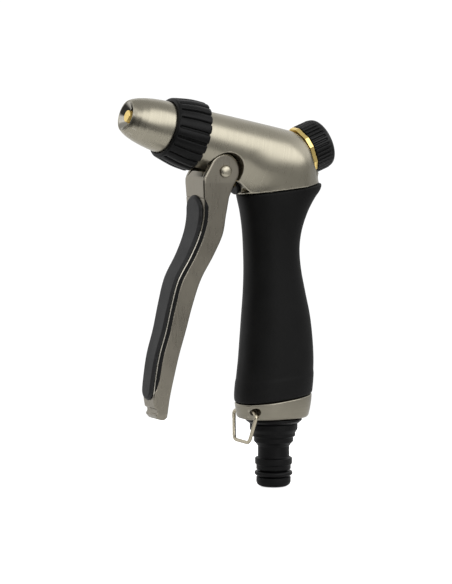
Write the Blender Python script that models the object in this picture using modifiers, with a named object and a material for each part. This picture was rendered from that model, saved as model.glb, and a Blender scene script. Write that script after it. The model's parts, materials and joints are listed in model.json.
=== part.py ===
"""Pistol-grip hose spray nozzle with a quick-connect tail, an adjustable tip, a squeeze
trigger with a wire lock bail, and a flow-control knob at the rear.

Frame: origin at the centre of the tail's end face, +Z up along the tail and the grip,
nozzle towards -X, symmetric about Y = 0. Named dimensions are millimetres and degrees.
"""
import math

import bmesh
import bpy
from mathutils import Matrix, Vector

MM = 0.001
GAP = 0.3  # running gap between neighbouring pieces

# ---------------------------------------------------------------- axes
RIM = (-80.0, 0.0, 182.2)  # centre of the nozzle's front rim
NOZZLE_TILT = 16.0  # the barrel rises towards the nozzle
VALVE_FACE = (13.9, 0.0, 163.35)  # centre of the body's rear face
VALVE_TILT = 21.5  # the valve axis rises towards the knob
PIVOT = (-32.0, 0.0, 155.4)  # trigger pivot
BAIL_PIVOT = (-15.6, 0.0, 38.3)
BAIL_HOLE = (-15.2, 38.3, 1.85)  # X, Z, radius of the holes that the bail hangs in
BAIL_LEAN = 8.5  # the bail hangs this far forward of the vertical
SEAM_TOP = (146.0, 0.115)  # grip's top seam: height at X = 0 and slope
SEAM_LOW = (43.85, 0.11)  # grip's lower seam

# ---------------------------------------------------------------- grip and neck
# height, front X, rear X, half width
GRIP_STATIONS = (
    (36.0, -18.4, 17.6, 14.6), (44.0, -19.9, 19.0, 15.2), (52.0, -19.3, 19.9, 15.5),
    (62.0, -18.1, 20.3, 15.5), (72.0, -17.3, 19.8, 15.1), (84.0, -16.4, 18.3, 14.5),
    (96.0, -15.5, 15.6, 13.7), (107.0, -15.2, 13.3, 13.1), (117.0, -15.5, 12.5, 12.9),
    (126.0, -16.1, 13.8, 13.2), (135.0, -17.4, 17.2, 14.0), (141.0, -18.9, 20.8, 14.6),
    (145.5, -20.1, 24.3, 14.8), (149.0, -20.8, 25.3, 14.6),
)
NECK_STATIONS = (
    (138.0, -18.1, 18.8, 14.2), (141.0, -18.9, 20.8, 14.6), (145.5, -20.1, 24.0, 14.7),
    (148.5, -20.9, 23.0, 14.3), (152.0, -21.7, 21.1, 13.9), (158.0, -22.2, 18.6, 13.6),
    (165.0, -21.5, 15.0, 13.0),
)
GRIP_SQUARENESS = 2.25
SLEEVE_WALL = 2.7

# ---------------------------------------------------------------- trigger
# height, front X, rear X, half width
TRIGGER_STATIONS = (
    (143.0, -43.3, -29.5, 9.7), (134.0, -43.1, -31.0, 9.2), (125.0, -45.1, -32.5, 8.7),
    (115.0, -49.6, -37.2, 8.1), (104.0, -55.9, -43.6, 7.7), (92.0, -59.4, -47.9, 7.3),
    (80.0, -62.2, -51.3, 7.0), (68.0, -65.7, -54.9, 6.7), (56.0, -67.8, -57.8, 6.3),
    (48.0, -68.5, -59.5, 6.0), (42.0, -67.6, -60.4, 5.8),
)
PAD_SHARE = 0.72  # of the trigger's width
PAD_RISE = 1.35
EAR_R = 8.0
EAR_OUT = 10.0  # half width over the ears
EAR_IN = 7.5
LUG_HALF = 7.15
RECESS_HALF = 7.2  # half width between the recesses for the ears
EAR_WAY = 0.6  # room round the ears
POCKET_HALF = 4.6  # half width of the web between the pockets below the ears
CHEEK = 2.4
WEB = 3.0
RIVET_R = 2.2
CAM_R = 2.5
NOTCH = (-67.6, 41.5, 1.5)  # X, Z, radius of the groove that the bail drops into
SQUEEZE = 19.0

# ---------------------------------------------------------------- round pieces
SPIGOT_R = 9.2
TAIL_BORE = 5.2
WIRE_R = 0.9
KNOB_R = 12.5
KNOB_RIBS = 36
BONNET_R = 12.5  # bonnet nut, over its corners
HEX_TURN = 276.0
SLEEVE_RIBS = 20

for old in list(bpy.data.objects):
    bpy.data.objects.remove(old, do_unlink=True)

scene = bpy.context.scene
PARTS = bpy.data.collections.new("hose_spray_nozzle")
CUTTERS = bpy.data.collections.new("cutters")
scene.collection.children.link(PARTS)
scene.collection.children.link(CUTTERS)
CUTTERS.hide_render = True


# ---------------------------------------------------------------- helpers
def material(name, colour, roughness, metallic=0.0):
    mat = bpy.data.materials.new(name)
    mat.use_nodes = True
    shader = mat.node_tree.nodes["Principled BSDF"]
    shader.inputs["Base Color"].default_value = (*colour, 1.0)
    shader.inputs["Roughness"].default_value = roughness
    shader.inputs["Metallic"].default_value = metallic
    return mat


def frame_at(origin, z_axis):
    """A frame with its Z along z_axis and its Y along the row's Y."""
    z = Vector(z_axis).normalized()
    y = Vector((0.0, 1.0, 0.0))
    m = Matrix((y.cross(z), y, z)).transposed().to_4x4()
    m.translation = Vector(origin) * MM
    return m


def keep(obj, mat):
    """A piece of the object."""
    PARTS.objects.link(obj)
    obj.data.materials.clear()
    obj.data.materials.append(mat)
    return obj


def tool(obj):
    """A shape that only cuts or joins."""
    CUTTERS.objects.link(obj)
    obj.hide_render = True
    obj.display_type = "WIRE"
    return obj


def boolean(obj, other, operation="DIFFERENCE"):
    step = obj.modifiers.new(f"{operation.title()} {len(obj.modifiers)}", "BOOLEAN")
    step.operation = operation
    step.solver = "EXACT"
    step.object = other
    return obj


def smooth(obj, angle=35.0):
    obj.data.shade_smooth()
    obj.data.set_sharp_from_angle(angle=math.radians(angle))
    return obj


def turned(name, profile, place, steps=28):
    """A profile of (radius, height) turned about the frame's Z. It starts at the top and runs
    down the outer side; one that starts off the axis closes on itself into a ring."""
    mesh = bpy.data.meshes.new(name)
    points = [(r * MM, 0.0, z * MM) for r, z in profile]
    edges = [(i, i + 1) for i in range(len(points) - 1)]
    if profile[0][0] > 0:
        edges.append((len(points) - 1, 0))
    mesh.from_pydata(points, edges, [])
    obj = bpy.data.objects.new(name, mesh)
    obj.matrix_world = place
    screw = obj.modifiers.new("Turn", "SCREW")
    screw.axis = "Z"
    screw.angle = 2 * math.pi
    screw.steps = screw.render_steps = steps
    screw.use_merge_vertices = True
    screw.merge_threshold = 1e-6
    screw.use_smooth_shade = True
    return obj


def rod(name, radius, low, high, place, sides=28, radius_high=None):
    """A cylinder or cone along the frame's Z."""
    bm = bmesh.new()
    bmesh.ops.create_cone(
        bm, cap_ends=True, segments=sides, radius1=radius * MM,
        radius2=(radius if radius_high is None else radius_high) * MM,
        depth=(high - low) * MM,
        matrix=Matrix.Translation((0.0, 0.0, (low + high) / 2 * MM)),
    )
    mesh = bpy.data.meshes.new(name)
    bm.to_mesh(mesh)
    bm.free()
    obj = bpy.data.objects.new(name, mesh)
    obj.matrix_world = place
    return obj


def block(name, low, high, place=Matrix.Identity(4)):
    size = [(h - l) * MM for l, h in zip(low, high)]
    centre = [(h + l) / 2 * MM for l, h in zip(low, high)]
    bm = bmesh.new()
    bmesh.ops.create_cube(
        bm, size=1.0, matrix=Matrix.Translation(centre) @ Matrix.Diagonal((*size, 1.0))
    )
    mesh = bpy.data.meshes.new(name)
    bm.to_mesh(mesh)
    bm.free()
    obj = bpy.data.objects.new(name, mesh)
    obj.matrix_world = place
    return obj


def ring(name, centre_r, section_r, height, place, major=26, minor=8):
    """An O-ring about the frame's Z."""
    bpy.ops.mesh.primitive_torus_add(
        major_segments=major, minor_segments=minor,
        major_radius=centre_r * MM, minor_radius=section_r * MM,
    )
    obj = bpy.context.object
    for holder in list(obj.users_collection):
        holder.objects.unlink(obj)
    obj.name = obj.data.name = name
    obj.matrix_world = place @ Matrix.Translation((0.0, 0.0, height * MM))
    return smooth(obj, 180.0)


def meshed(name, curve, place):
    """A mesh object from a curve, with its caps welded to its sides."""
    holder = bpy.data.objects.new(name + "_path", curve)
    scene.collection.objects.link(holder)
    mesh = bpy.data.meshes.new_from_object(
        holder.evaluated_get(bpy.context.evaluated_depsgraph_get())
    )
    bpy.data.objects.remove(holder, do_unlink=True)
    bm = bmesh.new()
    bm.from_mesh(mesh)
    bmesh.ops.remove_doubles(bm, verts=bm.verts, dist=1e-6)
    bmesh.ops.recalc_face_normals(bm, faces=bm.faces)
    bm.to_mesh(mesh)
    bm.free()
    mesh.name = name
    obj = bpy.data.objects.new(name, mesh)
    obj.matrix_world = place
    return obj


def plate(name, outline, half, place):
    """A flat outline in the frame's XY, half its thickness to each side."""
    curve = bpy.data.curves.new(name, "CURVE")
    curve.dimensions = "2D"
    curve.fill_mode = "BOTH"
    curve.extrude = half * MM
    spline = curve.splines.new("POLY")
    spline.points.add(len(outline) - 1)
    for point, (x, y) in zip(spline.points, outline):
        point.co = (x * MM, y * MM, 0.0, 1.0)
    spline.use_cyclic_u = True
    return meshed(name, curve, place)


def wire(name, path, radius, place=Matrix.Identity(4), resolution=2):
    curve = bpy.data.curves.new(name, "CURVE")
    curve.dimensions = "3D"
    curve.bevel_depth = radius * MM
    curve.bevel_resolution = resolution
    curve.use_fill_caps = True
    spline = curve.splines.new("POLY")
    spline.points.add(len(path) - 1)
    for point, at in zip(spline.points, path):
        point.co = (*(c * MM for c in at), 1.0)
    return meshed(name, curve, place)


def loft(name, rings, place=Matrix.Identity(4), hollow=False):
    """A surface through rings of as many points each. A hollow one runs down outside and back
    up inside; the other kind is capped at both ends."""
    bm = bmesh.new()
    loops = [[bm.verts.new(Vector(p) * MM) for p in points] for points in rings]
    count = len(loops[0])
    spans = list(zip(loops, loops[1:]))
    if hollow:
        spans.append((loops[-1], loops[0]))
    for a, b in spans:
        for i in range(count):
            j = (i + 1) % count
            bm.faces.new((a[i], a[j], b[j], b[i]))
    if not hollow:
        bm.faces.new(loops[0])
        bm.faces.new(loops[-1])
    bmesh.ops.recalc_face_normals(bm, faces=bm.faces)
    mesh = bpy.data.meshes.new(name)
    bm.to_mesh(mesh)
    bm.free()
    obj = bpy.data.objects.new(name, mesh)
    obj.matrix_world = place
    return obj


def between(stations, height):
    """The stations' values at a height, along a smooth curve through them."""
    rows = sorted(stations)
    height = min(max(height, rows[0][0]), rows[-1][0])
    k = max(i for i in range(len(rows) - 1) if rows[i][0] <= height)
    p0, p1, p2, p3 = rows[max(k - 1, 0)], rows[k], rows[k + 1], rows[min(k + 2, len(rows) - 1)]
    span = p2[0] - p1[0]
    t = (height - p1[0]) / span
    out = []
    for c in range(1, len(p1)):
        m1 = (p2[c] - p0[c]) / (p2[0] - p0[0]) * span
        m2 = (p3[c] - p1[c]) / (p3[0] - p1[0]) * span
        out.append(
            (2 * t**3 - 3 * t**2 + 1) * p1[c] + (t**3 - 2 * t**2 + t) * m1
            + (3 * t**2 - 2 * t**3) * p2[c] + (t**3 - t**2) * m2
        )
    return out


def oval(height, front, rear, half, inset=0.0, sides=28, squareness=GRIP_SQUARENESS):
    """A level, slightly squared oval."""
    a, b, c = (rear - front) / 2 - inset, half - inset, (rear + front) / 2
    points = []
    for i in range(sides):
        u = 2 * math.pi * i / sides
        x, y = math.cos(u), math.sin(u)
        points.append((
            c + a * math.copysign(abs(x) ** (2 / squareness), x),
            b * math.copysign(abs(y) ** (2 / squareness), y),
            height,
        ))
    return points


def ovals(stations, low, high, count, inset=0.0, sides=28):
    rows = []
    for i in range(count):
        z = low + (high - low) * i / (count - 1)
        front, rear, half = between(stations, z)
        rows.append(oval(z, front, rear, half, inset, sides))
    return rows


def half_space(name, seam, offset, above):
    """A big block above or below a seam plane that is square to Y."""
    tilt = Matrix.Rotation(-math.atan(seam[1]), 4, "Y")
    place = Matrix.Translation((0.0, 0.0, (seam[0] + offset) * MM)) @ tilt
    low, high = (0.0, 60.0) if above else (-60.0, 0.0)
    return tool(block(name, (-60.0, -40.0, low), (60.0, 40.0, high), place))


def arc(centre, radius, start, end, count):
    """Points on a circle, angles in degrees."""
    return [
        (centre[0] + radius * math.cos(math.radians(start + (end - start) * i / (count - 1))),
         centre[1] + radius * math.sin(math.radians(start + (end - start) * i / (count - 1))))
        for i in range(count)
    ]


def ribbed(radius, depth, height, ribs, per_rib=4, share=0.5):
    """A circle with square-cut ribs: share of each pitch stands at the full radius."""
    points = []
    for i in range(ribs):
        for k in range(per_rib):
            # two corners on the rib's land, two on the groove's floor
            at = (0.0, share, share + 0.12, 0.88)[k]
            r = radius if k < 2 else radius - depth
            u = 2 * math.pi * (i + at) / ribs
            points.append((r * math.cos(u), r * math.sin(u), height))
    return points


def circle(radius, height, count):
    return [
        (radius * math.cos(2 * math.pi * i / count), radius * math.sin(2 * math.pi * i / count), height)
        for i in range(count)
    ]


# ---------------------------------------------------------------- frames
nt, vt = math.radians(NOZZLE_TILT), math.radians(VALVE_TILT)
WORLD = Matrix.Identity(4)
NOZZLE = frame_at(RIM, (-math.cos(nt), 0.0, math.sin(nt)))  # Z forward, depth q = -Z
VALVE = frame_at(VALVE_FACE, (math.cos(vt), 0.0, math.sin(vt)))  # Z to the knob
SIDE = Matrix.Rotation(math.pi / 2, 4, "X")  # an outline's XY lies in the row's XZ
FRONT = Matrix(((0, 0, 1, 0), (1, 0, 0, 0), (0, 1, 0, 0), (0, 0, 0, 1)))  # outline's XY in YZ
ACROSS = frame_at((0.0, 0.0, 0.0), (0.0, 0.0, 1.0)) @ Matrix.Rotation(-math.pi / 2, 4, "X")


def across(x, z):
    """A frame with its Z along the row's Y, through (x, z)."""
    return Matrix.Translation((x * MM, 0.0, z * MM)) @ ACROSS


# ---------------------------------------------------------------- materials
NICKEL = material("satin_nickel", (0.42, 0.39, 0.33), 0.32, 1.0)
NICKEL_TRIM = material("satin_nickel_trim", (0.45, 0.42, 0.36), 0.30, 1.0)
RUBBER = material("black_rubber", (0.018, 0.018, 0.018), 0.62)
PAD = material("grey_black_rubber", (0.035, 0.036, 0.036), 0.70)
PLASTIC = material("black_plastic", (0.022, 0.022, 0.023), 0.45)
BRASS = material("brass", (0.83, 0.60, 0.22), 0.22, 1.0)
STEEL = material("stainless_steel", (0.62, 0.60, 0.56), 0.28, 1.0)
WIRE = material("nickel_wire", (0.60, 0.56, 0.46), 0.25, 1.0)
SEAL = material("seal_rubber", (0.012, 0.012, 0.012), 0.55)
ACETAL = material("white_acetal", (0.72, 0.72, 0.70), 0.45)


# ---------------------------------------------------------------- body casting
def barrel_r(q):
    return 13.85 + 0.0718 * (q - 43.6)


body = keep(turned("body_casting", [
    (0.0, -15.0), (SPIGOT_R - 0.6, -15.0), (SPIGOT_R, -15.8), (SPIGOT_R, -36.2), (12.6, -36.2),
    (barrel_r(39.0), -39.5), (barrel_r(52.0), -52.0), (barrel_r(66.0), -66.0),
    (barrel_r(80.0), -80.0), (barrel_r(90.0), -90.0), (15.2, -97.0), (11.0, -102.0), (0.0, -104.0),
], NOZZLE, 32), NICKEL)

# the barrel's rear rounds in to the knob's seat
boolean(body, tool(turned("rear_round", [
    (40.0, 30.0), (40.0, -19.0), (28.0, -20.0), (20.2, -10.0), (16.0, -4.5), (13.8, -1.5), (12.5, 0.0),
    (12.5, 30.0),
], VALVE, 32)))

below_seam = half_space("neck_seam", SEAM_TOP, 0.15, above=False)
neck = tool(loft("neck", ovals(NECK_STATIONS, 138.0, 165.0, 8)))
boolean(body, neck, "UNION")
boolean(body, below_seam)
boolean(body, tool(rod("knob_seat", 13.2, 0.0, 40.0, VALVE, 32)))

core = tool(loft("handle_core", ovals(GRIP_STATIONS, 38.0, 150.0, 14, SLEEVE_WALL + GAP, 24)))
boolean(core, half_space("core_seam", SEAM_LOW, 0.2, above=False))
boolean(body, core, "UNION")

# a gusset between barrel and neck, then on both flanks a recess for the trigger's ear, the way for its
# cheek, and a pocket under the gusset that leaves a narrow web and a thin rim above the grip
px, pz = PIVOT[0], PIVOT[2]
gusset = [(-26.5, 151.6), (-19.9, 145.2), (-12.0, 145.2), (-12.0, 160.0), (-26.5, 160.0)]
way = arc((px, pz), EAR_R + EAR_WAY, -30.0, 200.0, 22)
way += [(px - 16.0, pz - 4.0), (px - 16.0, pz - 14.0), (-26.0, 145.0), (-25.2, 149.9)]
pocket = [(-24.6, 150.75), (-35.0, 150.75), (-35.0, 143.1), (-24.5, 144.3), (-18.4, 144.95)]
boolean(body, tool(plate("gusset", gusset, 8.6, SIDE)), "UNION")
for side, name in ((-1, "right"), (1, "left")):
    at = Matrix.Translation((0.0, side * (RECESS_HALF + 10.0) * MM, 0.0))
    boolean(body, tool(plate("ear_way_" + name, way, 10.0, at @ SIDE)))
    at = Matrix.Translation((0.0, side * (POCKET_HALF + 10.0) * MM, 0.0))
    boolean(body, tool(plate("pocket_" + name, pocket, 10.0, at @ SIDE)))

# pivot lug under the barrel and the valve's nose between the cheeks
lug = [(px - 8.0, pz + 9.0), (px - 8.4, pz + 4.5), (px - 7.0, pz + 1.8)]
lug += arc((px, pz), 6.0, 165.0, 290.0, 10)
lug += [(px + 8.0, pz - 3.4), (px + 12.0, pz - 2.0), (px + 16.0, pz + 2.0), (px + 16.0, pz + 12.0)]
boolean(body, tool(plate("pivot_lug", lug, LUG_HALF, SIDE)), "UNION")
boolean(body, tool(rod("valve_nose", 5.7, -38.5, -14.0, VALVE, 28)), "UNION")
boolean(body, tool(rod("gland_face", 6.0, -42.5, -38.5, VALVE, 24)))
boolean(body, tool(rod("pivot_hole", RIVET_R + GAP, -20.0, 20.0, across(px, pz), 20)))

# valve bore from the rear: bonnet thread, chamber, seat, outlet, gland
boolean(body, tool(turned("valve_bore", [
    (0.0, 5.0), (9.3, 5.0), (9.3, -7.5), (8.0, -7.8), (8.0, -21.0), (4.5, -21.0), (4.5, -23.5),
    (5.5, -23.9), (5.5, -30.6), (4.3, -31.0), (4.3, -45.0), (0.0, -45.0),
], VALVE, 28)))
# water ways: barrel, drop from the outlet, handle, tail socket
boolean(body, tool(turned("barrel_bore", [
    (0.0, -5.0), (6.5, -5.0), (6.5, -66.0), (0.0, -70.0),
], NOZZLE, 24)))
boolean(body, tool(rod("outlet_drop", 3.8, 154.0, 165.0, Matrix.Translation((-12.5 * MM, 0.0, 0.0)), 20)))
boolean(body, tool(turned("handle_bore", [
    (0.0, 156.0), (5.5, 156.0), (5.5, 66.0), (7.2, 64.0), (7.2, 60.4), (9.4, 60.4), (9.4, 30.0), (0.0, 30.0),
], WORLD, 24)))
smooth(body)

# ---------------------------------------------------------------- grip and end collar
grip_rows = ovals(GRIP_STATIONS, 38.0, 150.0, 14, 0.0, 24)
grip_rows += reversed(ovals(GRIP_STATIONS, 38.0, 150.0, 14, SLEEVE_WALL, 24))
grip = keep(loft("grip_sleeve", grip_rows, hollow=True), RUBBER)
boolean(grip, half_space("grip_top", SEAM_TOP, -0.15, above=True))
boolean(grip, half_space("grip_low", SEAM_LOW, 0.15, above=False))
smooth(grip)

collar_rows = [oval(*row) for row in (
    (34.0, -17.1, 16.0, 13.1), (34.35, -17.9, 16.8, 13.8), (35.3, -18.6, 17.5, 14.5),
    (39.0, -19.2, 18.3, 14.9), (43.0, -19.8, 18.9, 15.2), (49.0, -19.8, 19.2, 15.4),
)]
collar = keep(loft("end_collar", collar_rows), NICKEL_TRIM)
boolean(collar, half_space("collar_top", SEAM_LOW, -0.15, above=True))
boolean(collar, tool(rod("collar_bore", 9.4, 30.0, 60.0, WORLD, 28)))
boolean(collar, tool(rod("bail_hole", BAIL_HOLE[2], -30.0, 30.0, across(*BAIL_HOLE[:2]), 20)))
smooth(collar)

# ---------------------------------------------------------------- tail
tail = keep(turned("tail_connector", [
    (9.1, 58.0), (9.1, 31.2), (11.8, 31.2), (11.8, 28.3), (10.7, 26.5), (10.7, 24.9), (9.7, 24.3),
    (9.7, 22.2), (8.5, 21.0), (7.75, 19.8), (7.75, 14.5), (9.15, 14.0), (9.15, 11.1), (8.5, 10.6),
    (8.5, 8.4), (6.6, 8.4), (6.6, 4.6), (8.5, 4.6), (8.5, 2.5), (8.2, 1.3), (7.4, 0.4), (6.4, 0.0),
    (TAIL_BORE, 0.0), (TAIL_BORE, 58.0),
], WORLD, 26), PLASTIC)
smooth(tail)
keep(ring("tail_oring", 8.15, 1.2, 6.5, WORLD, 26, 8), SEAL)
keep(turned("tail_washer", [(13.9, 33.7), (13.9, 32.7), (12.5, 31.5), (9.4, 31.5), (9.4, 33.7)], WORLD, 26), SEAL)
keep(ring("socket_oring", 8.2, 0.8, 59.2, WORLD, 20, 6), SEAL)

# ---------------------------------------------------------------- lock bail
lean = math.radians(BAIL_LEAN)
down = Vector((-math.sin(lean), 0.0, -math.cos(lean)))


def bail_point(drop, y):
    return tuple(Vector(BAIL_PIVOT) + down * drop + Vector((0.0, y, 0.0)))


half_path = [(-0.5, 7.2), (1.2, 10.1), (1.75, 10.85), (2.5, 11.2), (3.4, 11.1)]
half_path += [(11.9, 8.55), (13.3, 7.95), (14.5, 6.9), (15.15, 5.4), (15.2, 4.4)]
path = [bail_point(d, -y) for d, y in half_path] + [bail_point(d, y) for d, y in reversed(half_path)]
keep(smooth(wire("lock_bail", path, WIRE_R), 60.0), WIRE)

# ---------------------------------------------------------------- trigger
def trigger_at(z):
    return between(TRIGGER_STATIONS, z)


heights = [143.0 - (143.0 - 44.0) * i / 18 for i in range(19)]
outline = [(-38.9, 159.6), (-43.1, 152.9), (-43.7, 151.4), (-43.7, 149.0)]
outline += [(trigger_at(z)[0], z) for z in heights]
outline += [(-67.2, 39.3), (-65.9, 37.7), (-64.0, 36.9), (-62.2, 36.9), (-61.0, 37.9)]
outline += [(trigger_at(z)[1], z) for z in reversed(heights)]
outline += [(-27.2, 148.6)]
outline += arc((px, pz), EAR_R, -38.0, 148.0, 16)
trigger = keep(plate("trigger_lever", outline, 14.0, SIDE), NICKEL)

shape = [(EAR_OUT, 166.0), (EAR_OUT, 146.0)] + [(trigger_at(z)[2], z) for z in heights[::2]]
shape += [(5.75, 38.8), (5.2, 36.8), (4.6, 35.0)]
boolean(trigger, tool(plate("trigger_width", shape + [(-y, z) for y, z in reversed(shape)], 60.0, FRONT @ Matrix.Translation((0, 0, -45 * MM)))), "INTERSECT")

hollow = [(-43.2, 155.9), (-70.0, 155.9), (-70.0, 172.0), (-5.0, 172.0), (-5.0, 49.0)]
hollow += [(trigger_at(z)[0] + WEB, z) for z in [49.0 + (143.0 - 49.0) * i / 14 for i in range(15)]]
hollow += [(-40.6, 149.6), (-39.9, 154.9)]
channel = tool(plate("trigger_channel", hollow, 14.0, SIDE))
gap_shape = [(EAR_IN, 176.0), (EAR_IN, 145.0)]
gap_shape += [(trigger_at(z)[2] - CHEEK, z) for z in [143.0 - 99.0 * i / 9 for i in range(10)]]
boolean(channel, tool(plate("channel_width", gap_shape + [(-y, z) for y, z in reversed(gap_shape)], 60.0, FRONT @ Matrix.Translation((0, 0, -45 * MM)))), "INTERSECT")
boolean(trigger, channel)

# cam rib that pushes the valve stem, square to the valve axis at mid squeeze
foot = Vector((px, 0.0, pz))
axis_v = Vector((math.cos(vt), 0.0, math.sin(vt)))
normal_v = Vector((math.sin(vt), 0.0, -math.cos(vt)))
arm = (Vector(VALVE_FACE) - foot).dot(normal_v)
half_turn = math.radians(SQUEEZE / 2)
cam = foot + normal_v * (arm * math.cos(half_turn)) - axis_v * (arm * math.sin(half_turn))
rib = [(-42.0, cam.z + 1.9), (-42.0, cam.z - 2.4)] + arc((cam.x, cam.z), CAM_R, -90.0, 55.0, 9)
boolean(trigger, tool(plate("cam_rib", rib, 3.2, SIDE)), "UNION")
boolean(trigger, tool(rod("ear_hole", RIVET_R + GAP, -30.0, 30.0, across(px, pz), 20)))
boolean(trigger, tool(rod("notch", NOTCH[2], -30.0, 30.0, across(NOTCH[0] - 0.2, NOTCH[1]), 16)))


def pad_half(z, grow):
    """Half width of the pad, rounded at both ends."""
    w = trigger_at(z)[2] * PAD_SHARE + grow
    top, low = 144.0 + grow, 46.4 - grow
    d = max(min(top - z, z - low), 0.0)
    return w * math.sqrt(max(1.0 - max(1.0 - d / w, 0.0) ** 2, 0.0))


def pad_shape(grow):
    top, low, count = 144.0 + grow, 46.4 - grow, 30
    rows = [(1 - math.cos(math.pi * i / count)) / 2 for i in range(1, count)]
    right = [(pad_half(top + (low - top) * t, grow), top + (low - top) * t) for t in rows]
    return [(0.0, top)] + right + [(0.0, low)] + [(-y, z) for y, z in reversed(right)]


def pad_band(front, back):
    zs = [147.0 - (147.0 - 43.0) * i / 22 for i in range(23)]
    return [(trigger_at(z)[0] + front, z) for z in zs] + [(trigger_at(z)[0] + back, z) for z in reversed(zs)]


seat = tool(plate("pad_seat", pad_band(-6.0, 1.3), 14.0, SIDE))
boolean(seat, tool(plate("pad_seat_shape", pad_shape(GAP), 60.0, FRONT @ Matrix.Translation((0, 0, -45 * MM)))), "INTERSECT")
boolean(trigger, seat)
smooth(trigger)

pad = keep(plate("trigger_pad", pad_band(-PAD_RISE, 1.0), 14.0, SIDE), PAD)
boolean(pad, tool(plate("pad_outline", pad_shape(0.0), 60.0, FRONT @ Matrix.Translation((0, 0, -45 * MM)))), "INTERSECT")
smooth(pad)

# pivot rivet with a domed head on each side
head = EAR_OUT + GAP
rivet = [(0.0, head + 1.7), (1.5, head + 1.5), (2.6, head + 0.9), (3.2, head + 0.1), (3.2, head), (RIVET_R, head)]
keep(turned("pivot_rivet", rivet + [(r, -z) for r, z in reversed(rivet)], across(px, pz), 16), STEEL)

# ---------------------------------------------------------------- valve
tip = (cam - Vector(VALVE_FACE)).dot(axis_v) + CAM_R + 0.25
keep(turned("valve_stem", [
    (0.0, -12.6), (2.0, -12.6), (2.2, -12.9), (2.2, -17.4), (6.5, -17.4), (6.5, -18.9), (1.8, -18.9),
    (1.8, tip + 0.4), (1.4, tip), (0.0, tip),
], VALVE, 20), BRASS)
keep(turned("valve_disc", [(6.2, -19.2), (6.2, -20.7), (2.1, -20.7), (2.1, -19.2)], VALVE, 20), SEAL)
turns, low, high = 5, -16.6, -9.35
coil = []
for i in range(turns * 10 + 1):
    u = 2 * math.pi * i / 10
    coil.append((4.3 * math.cos(u), 4.3 * math.sin(u), low + (high - low) * i / (turns * 10)))
keep(smooth(wire("return_spring", coil, 0.45, VALVE, 1), 60.0), STEEL)
keep(ring("stem_oring", 3.0, 0.85, -32.2, VALVE, 20, 6), SEAL)
gland = keep(turned("gland_nut", [
    (4.0, -33.4), (4.0, -38.8), (5.4, -38.8), (5.4, -40.4), (2.1, -40.4), (2.1, -33.4),
], VALVE, 20), PLASTIC)

# ---------------------------------------------------------------- flow control
bonnet = keep(turned("bonnet_nut", [
    (9.0, 0.3), (9.0, -0.9), (7.5, -0.9), (7.5, -2.6), (9.0, -2.6), (9.0, -7.0), (3.75, -7.0), (3.75, 2.5),
    (8.0, 2.5), (8.0, 1.5),
], VALVE, 28), BRASS)
# its flange is a hexagon with broad cut corners
flats = []
for i in range(6):
    for turn in (-18.3, 18.3):
        u = math.radians(HEX_TURN + 60.0 * i + turn)
        flats.append((BONNET_R * math.cos(u), BONNET_R * math.sin(u)))
boolean(bonnet, tool(plate("bonnet_hex", flats, 1.1, VALVE @ Matrix.Translation((0.0, 0.0, 1.4 * MM)))), "UNION")
boolean(bonnet, tool(rod("bonnet_hole", 3.75, -10.0, 5.0, VALVE, 28)))
smooth(bonnet)
keep(ring("bonnet_oring", 8.35, 0.65, -1.75, VALVE, 22, 6), SEAL)

spindle = keep(turned("flow_spindle", [
    (0.0, 3.1), (3.4, 3.1), (3.4, -2.9), (2.2, -2.9), (2.2, -4.5), (3.4, -4.5), (3.4, -7.3), (7.5, -7.3),
    (7.5, -16.4), (6.85, -16.4), (6.85, -8.9), (0.0, -8.9),
], VALVE, 24), ACETAL)
boolean(spindle, tool(block("spindle_drive", (-2.3, -2.3, 1.9), (2.3, 2.3, 9.9), VALVE)), "UNION")
boolean(spindle, tool(rod("spindle_pilot", 1.25, 3.5, 13.0, VALVE, 12)))
# throttle window in the skirt, towards the handle's water way
boolean(spindle, tool(block("throttle_window", (3.0, -5.0, -15.2), (12.0, 5.0, -9.8), VALVE)))
smooth(spindle)
keep(ring("spindle_oring", 2.95, 0.55, -3.7, VALVE, 20, 6), SEAL)

count = KNOB_RIBS * 4
rows = [
    ribbed(KNOB_R, 0.75, 2.8, KNOB_RIBS), ribbed(KNOB_R, 0.75, 11.0, KNOB_RIBS),
    ribbed(KNOB_R - 0.9, 0.5, 13.2, KNOB_RIBS), circle(KNOB_R - 3.0, 14.4, count),
]
knob = keep(loft("flow_knob", rows, VALVE), PLASTIC)
boolean(knob, tool(turned("knob_hollow", [(10.6, 10.7), (10.6, -3.0), (4.6, -3.0), (4.6, 10.7)], VALVE, 24)))
boolean(knob, tool(block("knob_drive", (-2.6, -2.6, -2.0), (2.6, 2.6, 10.2), VALVE)))
boolean(knob, tool(rod("knob_relief", 3.7, -2.0, 3.4, VALVE, 20)))
boolean(knob, tool(turned("knob_screw_hole", [(0.0, 17.0), (3.4, 17.0), (3.4, 12.1), (1.7, 12.1), (1.7, 0.0), (0.0, 0.0)], VALVE, 16)))
smooth(knob, 30.0)
screw_top = keep(turned("knob_screw", [
    (0.0, 14.0), (2.1, 13.8), (3.0, 13.0), (3.0, 12.4), (0.95, 12.4), (0.95, 4.3), (0.0, 3.8),
], VALVE, 16), STEEL)
for turn in (0.0, 90.0):
    boolean(screw_top, tool(block(f"cross_{turn:.0f}", (-1.9, -0.35, 13.1), (1.9, 0.35, 16.0), VALVE @ Matrix.Rotation(math.radians(turn), 4, "Z"))))

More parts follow.
